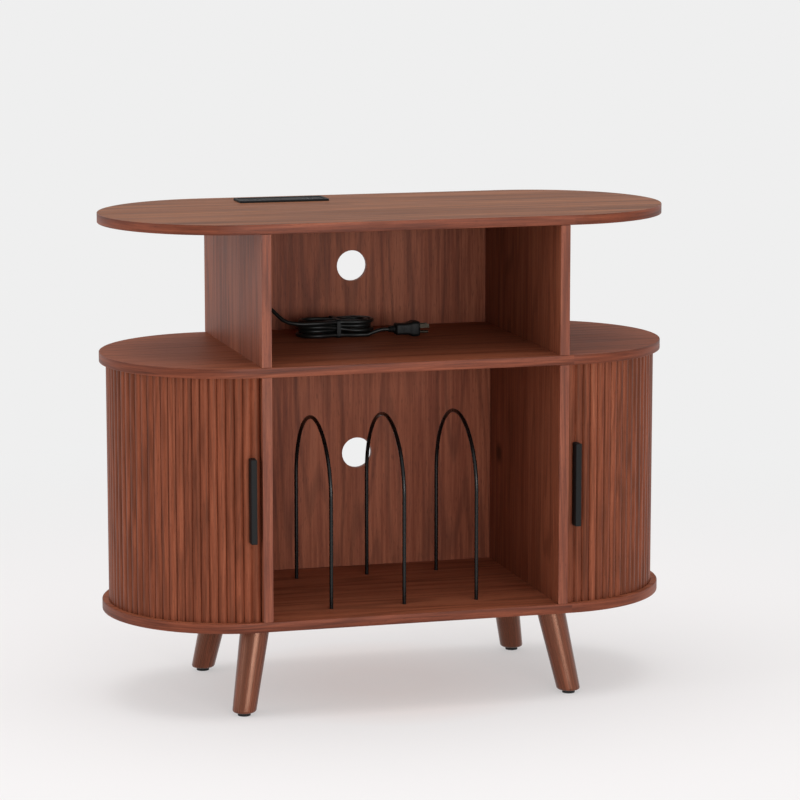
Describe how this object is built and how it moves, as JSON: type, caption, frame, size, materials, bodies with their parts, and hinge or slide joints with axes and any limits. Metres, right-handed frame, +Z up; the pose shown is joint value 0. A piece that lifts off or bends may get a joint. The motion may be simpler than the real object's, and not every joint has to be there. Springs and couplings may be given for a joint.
{
  "type": "record player stand",
  "caption": "Cabinet with half-round ends on splayed legs: open shelf, record rack with wire dividers, tambour doors and a charging unit in its top.",
  "frame": {"origin": "on the floor, under the middle of the stand's box", "axes": "+X to the stand's right as seen from its front, +Y to its rear, +Z up"},
  "size_m": [0.9, 0.4065, 0.7655],
  "materials": {
    "walnut_laminate": "satin walnut-grain laminate on board",
    "walnut_wood": "satin stained wood",
    "black_powder_coat": "satin black powder coat",
    "zinc_plated_steel": "bright zinc plate",
    "charger_plastic": "dark grey satin plastic",
    "black_plastic": "black moulded plastic",
    "cord_jacket": "black PVC jacket",
    "black_rubber": "matt black rubber"
  },
  "bodies": {
    "cabinet": {"top_panel": "walnut_laminate", "middle_shelf": "walnut_laminate", "bottom_panel": "walnut_laminate", "upper_side_left": "walnut_laminate", "upper_side_right": "walnut_laminate", "lower_divider_left": "walnut_laminate", "lower_divider_right": "walnut_laminate", "upper_back_panel": "walnut_laminate", "lower_back_panel": "walnut_laminate", "end_liner_left": "walnut_laminate", "end_liner_right": "walnut_laminate", "leg_front_left": "walnut_wood", "leg_front_right": "walnut_wood", "leg_rear_left": "walnut_wood", "leg_rear_right": "walnut_wood", "foot_pad_front_left": "black_rubber", "foot_pad_front_right": "black_rubber", "foot_pad_rear_left": "black_rubber", "foot_pad_rear_right": "black_rubber", "hanger_bolt_front_left": "zinc_plated_steel", "hanger_bolt_front_right": "zinc_plated_steel", "hanger_bolt_rear_left": "zinc_plated_steel", "hanger_bolt_rear_right": "zinc_plated_steel", "base_screw_front_left": "zinc_plated_steel", "base_screw_front_right": "zinc_plated_steel", "base_screw_rear_left": "zinc_plated_steel", "base_screw_rear_right": "zinc_plated_steel", "record_wire_left": "black_powder_coat", "record_wire_middle": "black_powder_coat", "record_wire_right": "black_powder_coat", "charger_bezel": "charger_plastic", "charger_housing": "charger_plastic", "socket_face": "charger_plastic", "usb_shell": "zinc_plated_steel", "charger_clamp_front": "zinc_plated_steel", "charger_clamp_rear": "zinc_plated_steel", "strain_relief": "black_plastic", "cord_lead": "cord_jacket", "cord_hank": "cord_jacket", "cord_tail": "cord_jacket", "cord_tie": "black_plastic", "plug_boot": "black_plastic", "plug_body": "black_plastic", "plug_blade_front": "zinc_plated_steel", "plug_blade_rear": "zinc_plated_steel", "plug_earth_pin": "zinc_plated_steel"},
    "door_left": {"door_curtain_left": "walnut_wood", "door_stile_left": "walnut_wood", "door_batten_left": "walnut_wood", "door_handle_left": "black_powder_coat", "handle_screw_low_left": "zinc_plated_steel", "handle_screw_high_left": "zinc_plated_steel"},
    "door_right": {"door_curtain_right": "walnut_wood", "door_stile_right": "walnut_wood", "door_batten_right": "walnut_wood", "door_handle_right": "black_powder_coat", "handle_screw_low_right": "zinc_plated_steel", "handle_screw_high_right": "zinc_plated_steel"}
  },
  "joints": [
    {"name": "left_door_slide", "type": "hinge", "parent": "cabinet", "child": "door_left", "pos_m": [-0.25, 0.00325, 0], "axis": [0, 0, -1], "range_deg": [0, 77]},
    {"name": "right_door_slide", "type": "hinge", "parent": "cabinet", "child": "door_right", "pos_m": [0.25, 0.00325, 0], "axis": [0, 0, 1], "range_deg": [0, 77]}
  ]
}
